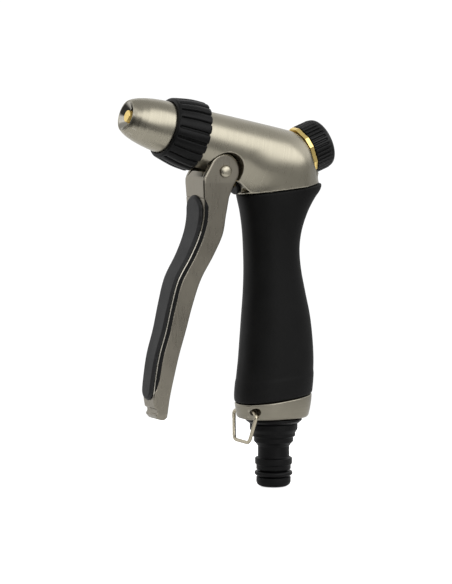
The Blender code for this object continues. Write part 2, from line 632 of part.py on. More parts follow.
# ---------------------------------------------------------------- nozzle
shell = keep(turned("nozzle_shell", [
    (7.25, 0.0), (7.55, -0.2), (8.5, -1.5), (9.65, -4.2), (10.6, -7.4), (11.4, -11.2), (12.0, -15.2),
    (12.4, -19.0), (12.6, -24.0), (12.6, -34.0), (9.6, -34.0), (9.6, -22.2), (11.5, -22.2), (11.5, -19.6),
    (9.6, -19.6), (9.6, -13.0), (8.6, -11.0), (3.8, -6.4), (3.7, -4.6), (4.3, -3.0), (7.0, -0.2),
], NOZZLE, 28), NICKEL)
keep(ring("nozzle_oring", 10.35, 0.8, -20.9, NOZZLE, 22, 6), SEAL)
count = SLEEVE_RIBS * 4
rows = [
    circle(13.4, -20.9, count), circle(14.7, -21.9, count),
    ribbed(15.0, 0.3, -22.6, SLEEVE_RIBS, share=0.62), ribbed(16.75, 1.1, -31.5, SLEEVE_RIBS, share=0.62),
    ribbed(16.9, 1.1, -38.1, SLEEVE_RIBS, share=0.62), circle(14.3, -38.1, count), circle(14.3, -34.3, count),
    circle(12.9, -34.3, count), circle(12.9, -20.9, count),
]
keep(smooth(loft("nozzle_grip", rows, NOZZLE, hollow=True), 30.0), RUBBER)

keep(turned("spray_tip", [
    (0.0, -0.6), (2.7, -0.6), (2.9, -0.8), (2.9, -5.0), (1.8, -7.5), (1.8, -21.6), (0.0, -21.6),
], NOZZLE, 20), BRASS)
spider = keep(turned("tip_holder", [
    (5.2, -17.0), (6.2, -18.0), (6.2, -23.6), (2.1, -23.6), (2.1, -17.0),
], NOZZLE, 24), BRASS)
for i in range(4):
    u = math.radians(45.0 + 90.0 * i)
    hole = Matrix.Translation((4.1 * math.cos(u) * MM, 4.1 * math.sin(u) * MM, 0.0))
    boolean(spider, tool(rod(f"spider_hole_{i}", 1.3, -30.0, -10.0, NOZZLE @ hole, 10)))
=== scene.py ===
"""Looks of the pistol-grip hose spray nozzle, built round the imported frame.

Shapes are given in millimetres in the row frame and become metres when their mesh is made.
Cast and moulded pieces come from distance fields, turned pieces from profiles.
"""
import json
import math

import bpy
import numpy as np
from mathutils import Matrix, Vector

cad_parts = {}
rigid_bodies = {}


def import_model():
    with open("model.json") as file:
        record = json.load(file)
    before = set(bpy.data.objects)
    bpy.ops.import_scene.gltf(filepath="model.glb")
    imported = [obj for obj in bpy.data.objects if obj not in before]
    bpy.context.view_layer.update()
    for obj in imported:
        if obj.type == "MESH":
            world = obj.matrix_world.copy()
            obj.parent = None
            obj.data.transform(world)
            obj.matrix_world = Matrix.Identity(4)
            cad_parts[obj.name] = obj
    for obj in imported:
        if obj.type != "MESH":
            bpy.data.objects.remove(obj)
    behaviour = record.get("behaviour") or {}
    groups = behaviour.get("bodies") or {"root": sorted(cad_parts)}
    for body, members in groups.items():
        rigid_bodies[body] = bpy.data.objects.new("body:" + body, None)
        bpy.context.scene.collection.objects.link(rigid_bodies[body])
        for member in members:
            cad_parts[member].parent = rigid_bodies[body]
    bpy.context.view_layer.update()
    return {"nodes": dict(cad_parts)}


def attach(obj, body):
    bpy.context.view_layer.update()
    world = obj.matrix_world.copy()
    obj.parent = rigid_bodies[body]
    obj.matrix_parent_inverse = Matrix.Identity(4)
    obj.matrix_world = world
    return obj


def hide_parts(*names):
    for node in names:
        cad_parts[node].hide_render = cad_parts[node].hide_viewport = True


for old in list(bpy.data.objects):
    bpy.data.objects.remove(old, do_unlink=True)

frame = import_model()
MM = 0.001
FINE = 1.0  # coarser grids while trying things

# ---------------------------------------------------------------- the part's axes and outlines
RIM = (-80.0, 0.0, 182.2)
NOZZLE_TILT = math.radians(16.0)
FACE = (13.9, 0.0, 163.35)
VALVE_TILT = math.radians(21.5)
PIVOT = (-32.0, 155.4)
BAIL_PIVOT = (-15.6, 0.0, 38.3)
BAIL_HOLE = (-15.2, 38.3, 1.85)
BAIL_LEAN = math.radians(8.5)
SEAM_TOP = (146.0, 0.115)
SEAM_LOW = (43.85, 0.11)
GRIP = (
    (36.0, -18.4, 17.6, 14.6), (44.0, -19.9, 19.0, 15.2), (52.0, -19.3, 19.9, 15.5),
    (62.0, -18.1, 20.3, 15.5), (72.0, -17.3, 19.8, 15.1), (84.0, -16.4, 18.3, 14.5),
    (96.0, -15.5, 15.6, 13.7), (107.0, -15.2, 13.3, 13.1), (117.0, -15.5, 12.5, 12.9),
    (126.0, -16.1, 13.8, 13.2), (135.0, -17.4, 17.2, 14.0), (141.0, -18.9, 20.8, 14.6),
    (145.5, -20.1, 24.3, 14.8), (149.0, -20.8, 25.3, 14.6),
)
NECK = (
    (138.0, -18.1, 18.8, 14.2), (141.0, -18.9, 20.8, 14.6), (145.5, -20.1, 24.0, 14.7),
    (148.5, -20.9, 23.0, 14.3), (152.0, -21.7, 21.1, 13.9), (158.0, -22.2, 18.6, 13.6),
    (165.0, -21.5, 15.0, 13.0),
)
COLLAR = (
    (33.0, -18.6, 17.5, 14.5), (35.3, -18.6, 17.5, 14.5), (39.0, -19.2, 18.3, 14.9),
    (43.0, -19.8, 18.9, 15.2), (49.0, -19.8, 19.2, 15.4),
)
TRIGGER = (
    (143.0, -43.3, -29.5, 9.7), (134.0, -43.1, -31.0, 9.2), (125.0, -45.1, -32.5, 8.7),
    (115.0, -49.6, -37.2, 8.1), (104.0, -55.9, -43.6, 7.7), (92.0, -59.4, -47.9, 7.3),
    (80.0, -62.2, -51.3, 7.0), (68.0, -65.7, -54.9, 6.7), (56.0, -67.8, -57.8, 6.3),
    (48.0, -68.5, -59.5, 6.0), (42.0, -67.6, -60.4, 5.8),
)
EAR_R, EAR_OUT, EAR_IN, LUG_HALF = 8.0, 10.0, 7.5, 7.15
EAR_WAY, RECESS_HALF, POCKET_HALF = 0.6, 7.2, 4.6
SQUEEZE = math.radians(19.0)


def frame_at(origin, z_axis):
    z = Vector(z_axis).normalized()
    y = Vector((0.0, 1.0, 0.0))
    m = Matrix((y.cross(z), y, z)).transposed().to_4x4()
    m.translation = Vector(origin) * MM
    return m


CN, SN = math.cos(NOZZLE_TILT), math.sin(NOZZLE_TILT)
CV, SV = math.cos(VALVE_TILT), math.sin(VALVE_TILT)
WORLD = Matrix.Identity(4)
NOZZLE = frame_at(RIM, (-CN, 0.0, SN))
VALVE = frame_at(FACE, (CV, 0.0, SV))
ACROSS = Matrix.Translation((PIVOT[0] * MM, 0.0, PIVOT[1] * MM)) @ Matrix.Rotation(-math.pi / 2, 4, "X")


# ---------------------------------------------------------------- fields
def smin(a, b, k):
    h = np.clip(0.5 + 0.5 * (b - a) / k, 0.0, 1.0)
    return b + (a - b) * h - k * h * (1.0 - h)


def smax(a, b, k):
    return -smin(-a, -b, k)


def polygon(points):
    """Signed distance to a closed outline, as a function of two coordinates."""
    pts = [(float(u), float(v)) for u, v in points]

    def field(x, y):
        x, y = np.broadcast_arrays(np.asarray(x, float), np.asarray(y, float))
        best = np.full(x.shape, 1e12)
        inside = np.zeros(x.shape, bool)
        for (ax, ay), (bx, by) in zip(pts, pts[1:] + pts[:1]):
            ex, ey = bx - ax, by - ay
            px, py = x - ax, y - ay
            t = np.clip((px * ex + py * ey) / (ex * ex + ey * ey + 1e-12), 0.0, 1.0)
            best = np.minimum(best, (px - ex * t) ** 2 + (py - ey * t) ** 2)
            if abs(ey) > 1e-12:
                inside ^= ((ay > y) != (by > y)) & (x < ax + (y - ay) * ex / ey)
        return np.where(inside, -1.0, 1.0) * np.sqrt(best)

    return field


def curve_of(stations):
    """Smooth curves through stations of (height, values), as functions of height."""
    rows = np.array(sorted(stations), float)
    zs = np.linspace(rows[0, 0], rows[-1, 0], 600)
    k = np.clip(np.searchsorted(rows[:, 0], zs, "right") - 1, 0, len(rows) - 2)
    p1, p2 = rows[k], rows[k + 1]
    p0, p3 = rows[np.maximum(k - 1, 0)], rows[np.minimum(k + 2, len(rows) - 1)]
    span = (p2[:, 0] - p1[:, 0])[:, None]
    t = ((zs - p1[:, 0]) / span[:, 0])[:, None]
    m1 = (p2 - p0) / (p2[:, :1] - p0[:, :1]) * span
    m2 = (p3 - p1) / (p3[:, :1] - p1[:, :1]) * span
    table = (2 * t**3 - 3 * t**2 + 1) * p1 + (t**3 - 2 * t**2 + t) * m1
    table += (3 * t**2 - 2 * t**3) * p2 + (t**3 - t**2) * m2
    return [lambda z, c=c: np.interp(z, zs, table[:, c]) for c in range(1, rows.shape[1])]


def oval(curves, x, y, z, power=2.25):
    """Distance to a column of level, slightly squared ovals."""
    front, rear, half = (f(z) for f in curves)
    a, c = (rear - front) / 2, (rear + front) / 2
    u, v = np.abs(x - c) / a + 1e-6, np.abs(y) / half + 1e-6
    rho = (u**power + v**power) ** (1 / power)
    slope = rho ** (1 - power) * np.sqrt((u ** (power - 1) / a) ** 2 + (v ** (power - 1) / half) ** 2)
    return (rho - 1.0) / slope


def plane(seam, offset, x, z):
    """Height above a seam that slopes along X."""
    return (z - seam[0] - offset - seam[1] * x) / math.hypot(1.0, seam[1])


def arc(centre, radius, start, end, count):
    return [
        (centre[0] + radius * math.cos(u), centre[1] + radius * math.sin(u))
        for u in np.radians(np.linspace(start, end, count))
    ]


# ---------------------------------------------------------------- meshes
def mesh_of(name, points, faces, normals=None):
    mesh = bpy.data.meshes.new(name)
    faces = np.asarray(faces, np.int32)
    count, corners = faces.shape
    mesh.vertices.add(len(points))
    mesh.vertices.foreach_set("co", np.asarray(points, np.float32).ravel())
    mesh.loops.add(count * corners)
    mesh.loops.foreach_set("vertex_index", faces.ravel())
    mesh.polygons.add(count)
    mesh.polygons.foreach_set("loop_start", np.arange(0, count * corners, corners, dtype=np.int32))
    mesh.update(calc_edges=True)
    mesh.validate()
    mesh.shade_smooth()
    if normals is not None and len(mesh.vertices) == len(normals):
        mesh.normals_split_custom_set_from_vertices([tuple(n) for n in normals])
    return mesh


def slope_of(field, p, e=0.03):
    grad = np.empty_like(p)
    for axis in range(3):
        d = np.zeros(3)
        d[axis] = e
        grad[:, axis] = (field(*(p + d).T) - field(*(p - d).T)) / (2 * e)
    return grad


def skin(name, field, low, high, step):
    """The surface where a field is zero: one vertex in each grid cell it passes, pulled onto it."""
    step = step * FINE
    low = np.array(low, float) - np.array((0.37, 0.29, 0.23)) * step  # keeps flat faces and seams off the grid's planes
    axes = [np.arange(l, h + step, step) for l, h in zip(low, high)]
    n = tuple(map(len, axes))
    v = np.broadcast_to(
        field(axes[0][:, None, None], axes[1][None, :, None], axes[2][None, None, :]), n
    ).astype(np.float32)
    solid = v < 0
    corners = [(i, j, k) for i in (0, 1) for j in (0, 1) for k in (0, 1)]
    count = np.zeros(tuple(s - 1 for s in n), np.int8)
    for i, j, k in corners:
        count += solid[i:n[0] - 1 + i, j:n[1] - 1 + j, k:n[2] - 1 + k]
    mixed = (count > 0) & (count < 8)
    cells = np.argwhere(mixed)
    index = np.full(mixed.shape, -1, np.int64)
    index[mixed] = np.arange(len(cells))
    at = {c: v[cells[:, 0] + c[0], cells[:, 1] + c[1], cells[:, 2] + c[2]] for c in corners}
    total, hits = np.zeros((len(cells), 3)), np.zeros(len(cells))
    for c in corners:
        for axis in range(3):
            if c[axis]:
                continue
            other = list(c)
            other[axis] = 1
            fa, fb = at[c], at[tuple(other)]
            crosses = (fa < 0) != (fb < 0)
            p = np.tile(np.array(c, float), (len(cells), 1))
            p[:, axis] += np.where(crosses, fa / np.where(crosses, fa - fb, 1.0), 0.0)
            total[crosses] += p[crosses]
            hits += crosses
    points = (cells + total / hits[:, None]) * step + low
    quads = []
    for axis, (u, w) in enumerate(((1, 2), (2, 0), (0, 1))):
        a = np.take(solid, range(n[axis] - 1), axis)
        b = np.take(solid, range(1, n[axis]), axis)
        idx = np.argwhere(a != b)
        idx = idx[(idx[:, u] > 0) & (idx[:, w] > 0) & (idx[:, u] < n[u] - 1) & (idx[:, w] < n[w] - 1)]
        du, dw = np.zeros(3, int), np.zeros(3, int)
        du[u] = dw[w] = 1
        q = np.stack([index[tuple((idx - s).T)] for s in (du + dw, dw, 0 * du, du)], 1)
        quads.append(np.where(a[tuple(idx.T)][:, None], q, q[:, ::-1]))
    for _ in range(4):
        grad = slope_of(field, points)
        size = np.maximum((grad**2).sum(1), 0.25)
        move = np.clip(field(*points.T) / size, -0.5 * step, 0.5 * step)
        points -= move[:, None] * grad
    grad = slope_of(field, points)
    grad /= np.maximum(np.linalg.norm(grad, axis=1), 1e-9)[:, None]
    return bpy.data.objects.new(name, mesh_of(name, points * MM, np.concatenate(quads), grad))


def fillet(profile, radii, count=6):
    """A polyline with its inner corners rounded. radii is one number or one for each corner."""
    pts = [Vector((float(a), float(b))) for a, b in profile]
    out = [pts[0]]
    for i in range(1, len(pts) - 1):
        radius = radii if isinstance(radii, (int, float)) else radii[i - 1]
        a, p, b = pts[i - 1], pts[i], pts[i + 1]
        da, db = (a - p), (b - p)
        la, lb = da.length, db.length
        da, db = da / la, db / lb
        angle = math.acos(max(-1.0, min(1.0, da.dot(db))))
        if radius <= 0 or angle > math.radians(176):
            out.append(p)
            continue
        cut = min(radius / math.tan(angle / 2), la * 0.48, lb * 0.48)
        start, end = p + da * cut, p + db * cut
        for k in range(count + 1):
            t = k / count
            out.append((1 - t) ** 2 * start + 2 * t * (1 - t) * p + t * t * end)
    out.append(pts[-1])
    return [(p.x, p.y) for p in out]


def turned(name, profile, place, sides=144, sharp=38.0):
    """A profile of (radius, height), turned about the frame's Z. One that starts off the axis closes on itself."""
    rows = np.array(profile, float)
    ring = rows[0, 0] > 1e-6
    u = np.linspace(0, 2 * np.pi, sides, endpoint=False)
    points, starts = [], []
    for r, z in rows:
        starts.append(len(points))
        if r < 1e-6:
            points.append((0.0, 0.0, z))
        else:
            points += [(r * math.cos(t), r * math.sin(t), z) for t in u]
    mesh = bpy.data.meshes.new(name)
    faces = []
    pairs = list(zip(range(len(rows)), range(1, len(rows))))
    if ring:
        pairs.append((len(rows) - 1, 0))
    for a, b in pairs:
        pa, pb = rows[a, 0] < 1e-6, rows[b, 0] < 1e-6
        for i in range(sides):
            j = (i + 1) % sides
            if pa and pb:
                continue
            if pa:
                faces.append((starts[a], starts[b] + i, starts[b] + j))
            elif pb:
                faces.append((starts[a] + i, starts[b], starts[a] + j))
            else:
                faces.append((starts[a] + i, starts[b] + i, starts[b] + j, starts[a] + j))
    mesh.from_pydata([tuple(c * MM for c in p) for p in points], [], faces)
    return finished(name, mesh, place, sharp)


def finished(name, mesh, place, sharp):
    """Outward faces, smooth but for real edges."""
    import bmesh

    bm = bmesh.new()
    bm.from_mesh(mesh)
    bmesh.ops.remove_doubles(bm, verts=bm.verts, dist=1e-7)
    bmesh.ops.recalc_face_normals(bm, faces=bm.faces)
    bm.transform(place)
    bm.to_mesh(mesh)
    bm.free()
    mesh.shade_smooth()
    mesh.set_sharp_from_angle(angle=math.radians(sharp))
    return bpy.data.objects.new(name, mesh)


def wrapped(name, radius_at, heights, sides, place, inner, sharp=50.0):
    """A grooved round wall: radius_at(angle, row) outside, and the profile `inner` of (radius, height) inside,
    listed from the last outer row back to the first."""
    u = np.linspace(0, 2 * np.pi, sides, endpoint=False)
    rows = [np.stack([radius_at(u, k) * np.cos(u), radius_at(u, k) * np.sin(u), np.full(sides, z)], 1)
            for k, z in enumerate(heights)]
    rows += [np.stack([r * np.cos(u), r * np.sin(u), np.full(sides, z)], 1) for r, z in inner]
    points = np.concatenate(rows)
    count = len(rows)
    faces = []
    i = np.arange(sides)
    j = (i + 1) % sides
    for k in range(count):
        a, b = k * sides, ((k + 1) % count) * sides
        faces.append(np.stack([a + i, a + j, b + j, b + i], 1))
    return finished(name, mesh_of(name, points * MM, np.concatenate(faces)), place, sharp)


def swept(name, path, radius, place=WORLD, sides=20, closed=False):
    """A round wire along a smooth path, with rounded ends."""
    pts = [Vector(p) for p in path]
    rows, radii = [], []
    if not closed:
        first = (pts[1] - pts[0]).normalized()
        last = (pts[-1] - pts[-2]).normalized()
        caps = [math.radians(a) for a in (12, 35, 60, 80)]
        pre = [(pts[0] - first * radius * (math.cos(a) * 0.6), radius * math.sin(a)) for a in caps]
        post = [(pts[-1] + last * radius * (math.cos(a) * 0.6), radius * math.sin(a)) for a in reversed(caps)]
        chain = pre + [(p, radius) for p in pts] + post
    else:
        chain = [(p, radius) for p in pts]
    normal = None
    total = len(chain)
    for k, (p, r) in enumerate(chain):
        if closed:
            tangent = chain[(k + 1) % total][0] - chain[k - 1][0]
        else:
            tangent = chain[min(k + 1, total - 1)][0] - chain[max(k - 1, 0)][0]
        tangent.normalize()
        if normal is None:
            normal = tangent.orthogonal().normalized()
        normal = (normal - tangent * normal.dot(tangent)).normalized()
        side = tangent.cross(normal)
        rows.append([p + (normal * math.cos(t) + side * math.sin(t)) * r for t in np.linspace(0, 2 * np.pi, sides, endpoint=False)])
    points = [tuple(q * MM) for row in rows for q in row]
    faces = []
    for k in range(total if closed else total - 1):
        for i in range(sides):
            j = (i + 1) % sides
            a, b = k * sides, ((k + 1) % total) * sides
            faces.append((a + i, a + j, b + j, b + i))
    if not closed:
        faces.append(tuple(range(sides)))
        faces.append(tuple(range((total - 1) * sides, total * sides)))
    mesh = bpy.data.meshes.new(name)
    mesh.from_pydata(points, [], faces)
    return finished(name, mesh, place, 60.0)


def smooth_path(points, count=12):
    """A curve through points, for wires."""
    pts = [Vector(p) for p in points]
    out = []
    for k in range(len(pts) - 1):
        p0, p1, p2, p3 = pts[max(k - 1, 0)], pts[k], pts[k + 1], pts[min(k + 2, len(pts) - 1)]
        for i in range(count):
            t = i / count
            out.append(0.5 * (2 * p1 + (p2 - p0) * t + (2 * p0 - 5 * p1 + 4 * p2 - p3) * t * t + (3 * p1 - p0 - 3 * p2 + p3) * t**3))
    out.append(pts[-1])
    return out


# ---------------------------------------------------------------- materials
class Nodes:
    """A short way to lay out a material's nodes."""

    def __init__(self, name):
        self.mat = bpy.data.materials.new(name)
        self.mat.use_nodes = True
        self.tree = self.mat.node_tree
        self.shader = self.tree.nodes["Principled BSDF"]

    def add(self, kind, **values):
        node = self.tree.nodes.new(kind)
        for key, value in values.items():
            if key in node.inputs.keys():
                node.inputs[key].default_value = value
            else:
                setattr(node, key, value)
        return node

    def link(self, out, into):
        self.tree.links.new(out, into)

    def coords(self, turn=(0.0, 0.0, 0.0), stretch=(1.0, 1.0, 1.0)):
        """Object coordinates, turned and then stretched."""
        source = self.add("ShaderNodeTexCoord")
        turned_by = self.add("ShaderNodeMapping", vector_type="TEXTURE")
        turned_by.inputs["Rotation"].default_value = turn
        self.link(source.outputs["Object"], turned_by.inputs["Vector"])
        scaled = self.add("ShaderNodeMapping", vector_type="POINT")
        scaled.inputs["Scale"].default_value = stretch
        self.link(turned_by.outputs["Vector"], scaled.inputs["Vector"])
        return scaled.outputs["Vector"]

    def noise(self, vector, scale, detail=3.0, roughness=0.5):
        node = self.add("ShaderNodeTexNoise", Scale=scale, Detail=detail, Roughness=roughness)
        self.link(vector, node.inputs["Vector"])
        return node.outputs["Fac"]

    def ramp(self, value, low, high, out_low, out_high):
        node = self.add("ShaderNodeMapRange", clamp=True)
        for key, number in (("From Min", low), ("From Max", high), ("To Min", out_low), ("To Max", out_high)):
            node.inputs[key].default_value = number
        self.link(value, node.inputs["Value"])
        return node.outputs["Result"]

    def math(self, op, a, b):
        node = self.add("ShaderNodeMath", operation=op)
        for socket, value in zip(node.inputs, (a, b)):
            if isinstance(value, (int, float)):
                socket.default_value = value
            else:
                self.link(value, socket)
        return node.outputs[0]

    def mix(self, factor, a, b):
        node = self.add("ShaderNodeMix", data_type="RGBA")
        for key, value in (("Factor", factor), ("A", a), ("B", b)):
            socket = [s for s in node.inputs if s.name == key and s.type == ("VALUE" if key == "Factor" else "RGBA")][0]
            if isinstance(value, (tuple, list)):
                socket.default_value = (*value, 1.0) if len(value) == 3 else value
            elif isinstance(value, (int, float)):
                socket.default_value = value
            else:
                self.link(value, socket)
        return [s for s in node.outputs if s.type == "RGBA"][0]

    def bump(self, height, depth_mm, strength=1.0, under=None):
        node = self.add("ShaderNodeBump")
        node.inputs["Strength"].default_value = strength
        node.inputs["Distance"].default_value = depth_mm * MM
        self.link(height, node.inputs["Height"])
        if under is not None:
            self.link(under, node.inputs["Normal"])
        return node.outputs["Normal"]

    def edges(self, low, high):
        """Where the surface is convex: edges that handling has rubbed."""
        geo = self.add("ShaderNodeNewGeometry")
        return self.ramp(geo.outputs["Pointiness"], low, high, 0.0, 1.0)


def brushed(name, colour, worn, rough, turn=(0.0, 0.0, 0.0), along=(55.0, 55.0, 2600.0), depth=0.002, spread=0.05):
    """Satin plated metal: fine brush lines, faint cloudiness, edges rubbed brighter."""
    n = Nodes(name)
    lines = n.noise(n.coords(turn, along), 1.0, 4.0, 0.55)
    coarse = n.noise(n.coords(turn, tuple(a * 0.33 for a in along)), 1.0, 3.0, 0.5)
    cloud = n.noise(n.coords(), 62.0, 3.0, 0.55)
    tone = n.mix(n.ramp(cloud, 0.3, 0.7, 0.0, 1.0), tuple(c * 0.94 for c in colour), tuple(min(c * 1.05, 1.0) for c in colour))
    tone = n.mix(n.math("MULTIPLY", n.ramp(lines, 0.35, 0.75, 0.0, 1.0), 0.16), tone, tuple(c * 0.72 for c in colour))
    edge = n.edges(0.515, 0.57)
    tone = n.mix(n.math("MULTIPLY", edge, 0.55), tone, worn)
    n.link(tone, n.shader.inputs["Base Color"])
    value = n.math("ADD", n.ramp(lines, 0.25, 0.75, rough - spread, rough + spread), n.ramp(cloud, 0.3, 0.7, -0.03, 0.03))
    value = n.math("SUBTRACT", value, n.math("MULTIPLY", edge, 0.06))
    n.link(value, n.shader.inputs["Roughness"])
    n.link(n.bump(lines, depth, 1.0, n.bump(coarse, depth * 1.6, 1.0)), n.shader.inputs["Normal"])
    n.shader.inputs["Metallic"].default_value = 1.0
    return n.mat


def rubber(name, colour, rough, grain=2600.0, depth=0.02, worn=None, level=0.4):
    """Moulded rubber or plastic: fine grain, patchy sheen, edges rubbed a little paler."""
    n = Nodes(name)
    here = n.coords()
    fine = n.noise(here, grain, 3.0, 0.6)
    patch = n.noise(here, 75.0, 4.0, 0.6)
    tone = n.mix(n.ramp(patch, 0.32, 0.7, 0.0, 1.0), tuple(c * 0.85 for c in colour), tuple(c * 1.18 for c in colour))
    worn = worn or tuple(c * 2.2 + 0.004 for c in colour)
    tone = n.mix(n.math("MULTIPLY", n.edges(0.53, 0.62), 0.5), tone, worn)
    n.link(tone, n.shader.inputs["Base Color"])
    value = n.math("ADD", n.ramp(patch, 0.3, 0.7, rough - 0.05, rough + 0.05), n.ramp(fine, 0.3, 0.7, -0.05, 0.05))
    n.link(value, n.shader.inputs["Roughness"])
    n.link(n.bump(fine, depth, 1.0), n.shader.inputs["Normal"])
    n.shader.inputs["Specular IOR Level"].default_value = level
    return n.mat


NICKEL = (0.372, 0.345, 0.274)
NICKEL_WORN = (0.52, 0.49, 0.42)
ALONG_BARREL, ALONG_VALVE = (0.0, NOZZLE_TILT - math.pi / 2, 0.0), (0.0, math.pi / 2 - VALVE_TILT, 0.0)
barrel_nickel = brushed("barrel_nickel", NICKEL, NICKEL_WORN, 0.30, turn=ALONG_BARREL)
turned_nickel = brushed("turned_nickel", NICKEL, NICKEL_WORN, 0.28, turn=ALONG_BARREL)
lever_nickel = brushed("lever_nickel", (0.282, 0.259, 0.212), (0.33, 0.305, 0.25), 0.30, along=(1500.0, 900.0, 90.0), depth=0.0025)
# the lever's own metal painted far paler: a painted highlight, so the plate's thin edge beside the pad reads as a
# bright line
plate_painted_highlight_nickel = brushed("plate_painted_highlight_nickel", (0.70, 0.66, 0.57), (0.86, 0.82, 0.73), 0.24, along=(1500.0, 900.0, 90.0), depth=0.002)
collar_nickel = brushed("collar_nickel", (0.285, 0.264, 0.212), (0.42, 0.395, 0.33), 0.33, along=(60.0, 60.0, 2200.0), depth=0.003)
mouth_nickel = brushed("mouth_nickel", (0.42, 0.40, 0.35), NICKEL_WORN, 0.12, turn=ALONG_BARREL, depth=0.001, spread=0.03)
wire_nickel = brushed("wire_nickel", (0.50, 0.45, 0.34), (0.62, 0.57, 0.46), 0.27, along=(900.0, 900.0, 900.0), depth=0.003)
steel = brushed("bright_steel", (0.47, 0.435, 0.345), (0.60, 0.56, 0.47), 0.34, along=(900.0, 900.0, 900.0), depth=0.002)
brass = brushed("turned_brass", (0.95, 0.70, 0.23), (0.97, 0.78, 0.36), 0.26, turn=ALONG_VALVE, along=(40.0, 40.0, 2400.0), depth=0.003, spread=0.05)
grip_rubber = rubber("grip_rubber", (0.0045, 0.0045, 0.0044), 0.52, level=0.13)
sleeve_rubber = rubber("sleeve_rubber", (0.0042, 0.0042, 0.0042), 0.42, level=0.16)
pad_rubber = rubber("pad_rubber", (0.011, 0.011, 0.0112), 0.5, depth=0.03, level=0.36)
# near-black sheet between the front plate and the cheek: painted shade for the dark groove there
shade_layer_rubber = rubber("shade_layer_rubber", (0.0032, 0.0032, 0.0031), 0.5, level=0.15)
knob_plastic = rubber("knob_plastic", (0.0048, 0.0048, 0.0048), 0.42, grain=3200.0, depth=0.012, level=0.26)
tail_plastic = rubber("tail_plastic", (0.0034, 0.0034, 0.0035), 0.42, grain=3000.0, depth=0.012, level=0.12)
seal_rubber = rubber("seal_rubber", (0.003, 0.003, 0.0031), 0.36, grain=2500.0, depth=0.008, level=0.14)
acetal = rubber("white_acetal", (0.68, 0.68, 0.65), 0.42, grain=2400.0, depth=0.01, worn=(0.8, 0.8, 0.78))


# ---------------------------------------------------------------- placing
def piece(obj, body, nodes, mat):
    bpy.context.scene.collection.objects.link(obj)
    obj.data.materials.clear()
    obj.data.materials.append(mat)
    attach(obj, body)
    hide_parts(*nodes)
    return obj


def keep(node, mat):
    """A CAD node that stays as it is, with a finished material."""
    mesh = frame["nodes"][node].data
    mesh.materials.clear()
    mesh.materials.append(mat)


# ---------------------------------------------------------------- body casting
px, pz = PIVOT
neck_curves, grip_curves = curve_of(NECK), curve_of(GRIP)
ear_way = polygon(
    arc((px - 0.15, pz + 0.2), EAR_R + EAR_WAY + 0.25, -30.0, 200.0, 70)
    + [(px - 16.0, pz - 4.0), (px - 16.0, pz - 14.0), (-26.0, 145.0), (-25.2, 149.9)]
)
gusset = polygon([(-26.5, 151.6), (-19.9, 145.2), (-12.0, 145.2), (-12.0, 160.0), (-26.5, 160.0)])
pocket = polygon([(-24.6, 150.75), (-35.0, 150.75), (-35.0, 143.1), (-24.5, 144.3), (-18.4, 144.95)])
lug_shape = polygon(
    [(px - 8.0, pz + 9.0), (px - 8.4, pz + 4.5), (px - 7.0, pz + 1.8)] + arc(PIVOT, 6.0, 165.0, 290.0, 24)
    + [(px + 8.0, pz - 3.4), (px + 12.0, pz - 2.0), (px + 16.0, pz + 2.0), (px + 16.0, pz + 12.0)]
)
bore_half = [
    (9.3, 5.0), (9.3, -7.5), (8.0, -7.8), (8.0, -21.0), (4.5, -21.0), (4.5, -23.5), (5.5, -23.9), (5.5, -30.6),
    (4.3, -31.0), (4.3, -46.0),
]
valve_bore = polygon(bore_half + [(-r, w) for r, w in reversed(bore_half)])


def axes_of(x, y, z):
    """Depth and radius about the nozzle's axis, then height and radius about the valve's."""
    dx, dz = x - RIM[0], z - RIM[2]
    q, up = dx * CN - dz * SN, dx * SN + dz * CN
    ax, az = x - FACE[0], z - FACE[2]
    w, lift = ax * CV + az * SV, az * CV - ax * SV
    return q, np.sqrt(up**2 + y**2), w, np.sqrt(lift**2 + y**2)


def body_field(x, y, z):
    q, r, w, rv = axes_of(x, y, z)
    side = (r - (13.85 + 0.0718 * (q - 43.6))) * 0.9974
    barrel = smax(side, 36.4 - q, 1.4)
    back = np.minimum(w, 0.4)
    cone = (rv - (12.4 - 0.74 * back + 0.35 * (1.0 - np.exp(back / 1.2)))) * 0.804
    barrel = smax(barrel, cone, 3.0)
    neck = smax(oval(neck_curves, x, y, z), z - 161.0, 9.0)
    solid = smin(barrel, neck, 7.0)
    web = smax(gusset(x, z), np.abs(y) - 8.6, 2.0)
    solid = smin(solid, web, 5.0)
    solid = smax(solid, -np.maximum(rv - 13.2, -w), 0.5)
    solid = smax(solid, -plane(SEAM_TOP, 0.15, x, z), 0.6)
    solid = smax(solid, -smax(ear_way(x, z), RECESS_HALF - np.abs(y), 0.6), 0.45)
    solid = smax(solid, -smax(pocket(x, z), POCKET_HALF - np.abs(y), 0.5), 0.35)
    solid = smin(solid, smax(lug_shape(x, z), np.abs(y) - LUG_HALF, 0.8), 0.8)
    nose = smax(rv - 5.7, np.maximum(-38.5 - w, w + 14.0), 0.8)
    solid = smin(solid, nose, 1.2)
    spigot = np.maximum(smax(r - 9.2, 15.0 - q, 0.8), q - 42.0)
    solid = smin(solid, spigot, 0.6)
    solid = smax(solid, -np.maximum(rv - 6.0, w + 38.5), 0.4)
    solid = smax(solid, 2.5 - np.sqrt((x - px) ** 2 + (z - pz) ** 2), 0.3)
    solid = smax(solid, -valve_bore(rv, w), 0.3)
    solid = smax(solid, -np.maximum(r - 6.5, q - 68.0), 0.3)
    solid = smax(solid, -np.maximum(np.sqrt(x**2 + y**2) - 5.5, z - 156.0), 0.3)
    return smax(solid, -np.maximum(np.sqrt((x + 12.5) ** 2 + y**2) - 3.8, np.abs(z - 159.5) - 5.5), 0.3)


piece(skin("body_head", body_field, (-72.5, -17.5, 142.5), (26.5, 17.5, 189.0), 0.5), "body", ["body_casting"], barrel_nickel)


def core_field(x, y, z):
    shell = oval(grip_curves, x, y, z) + 3.0
    shell = smax(shell, plane(SEAM_TOP, 0.6, x, z), 0.6)
    shell = smax(shell, -plane(SEAM_LOW, 0.2, x, z), 0.6)
    bore = np.where(z > 65.0, 5.5, np.where(z > 60.4, 7.2, 9.4))
    return smax(shell, bore - np.sqrt(x**2 + y**2), 0.4)


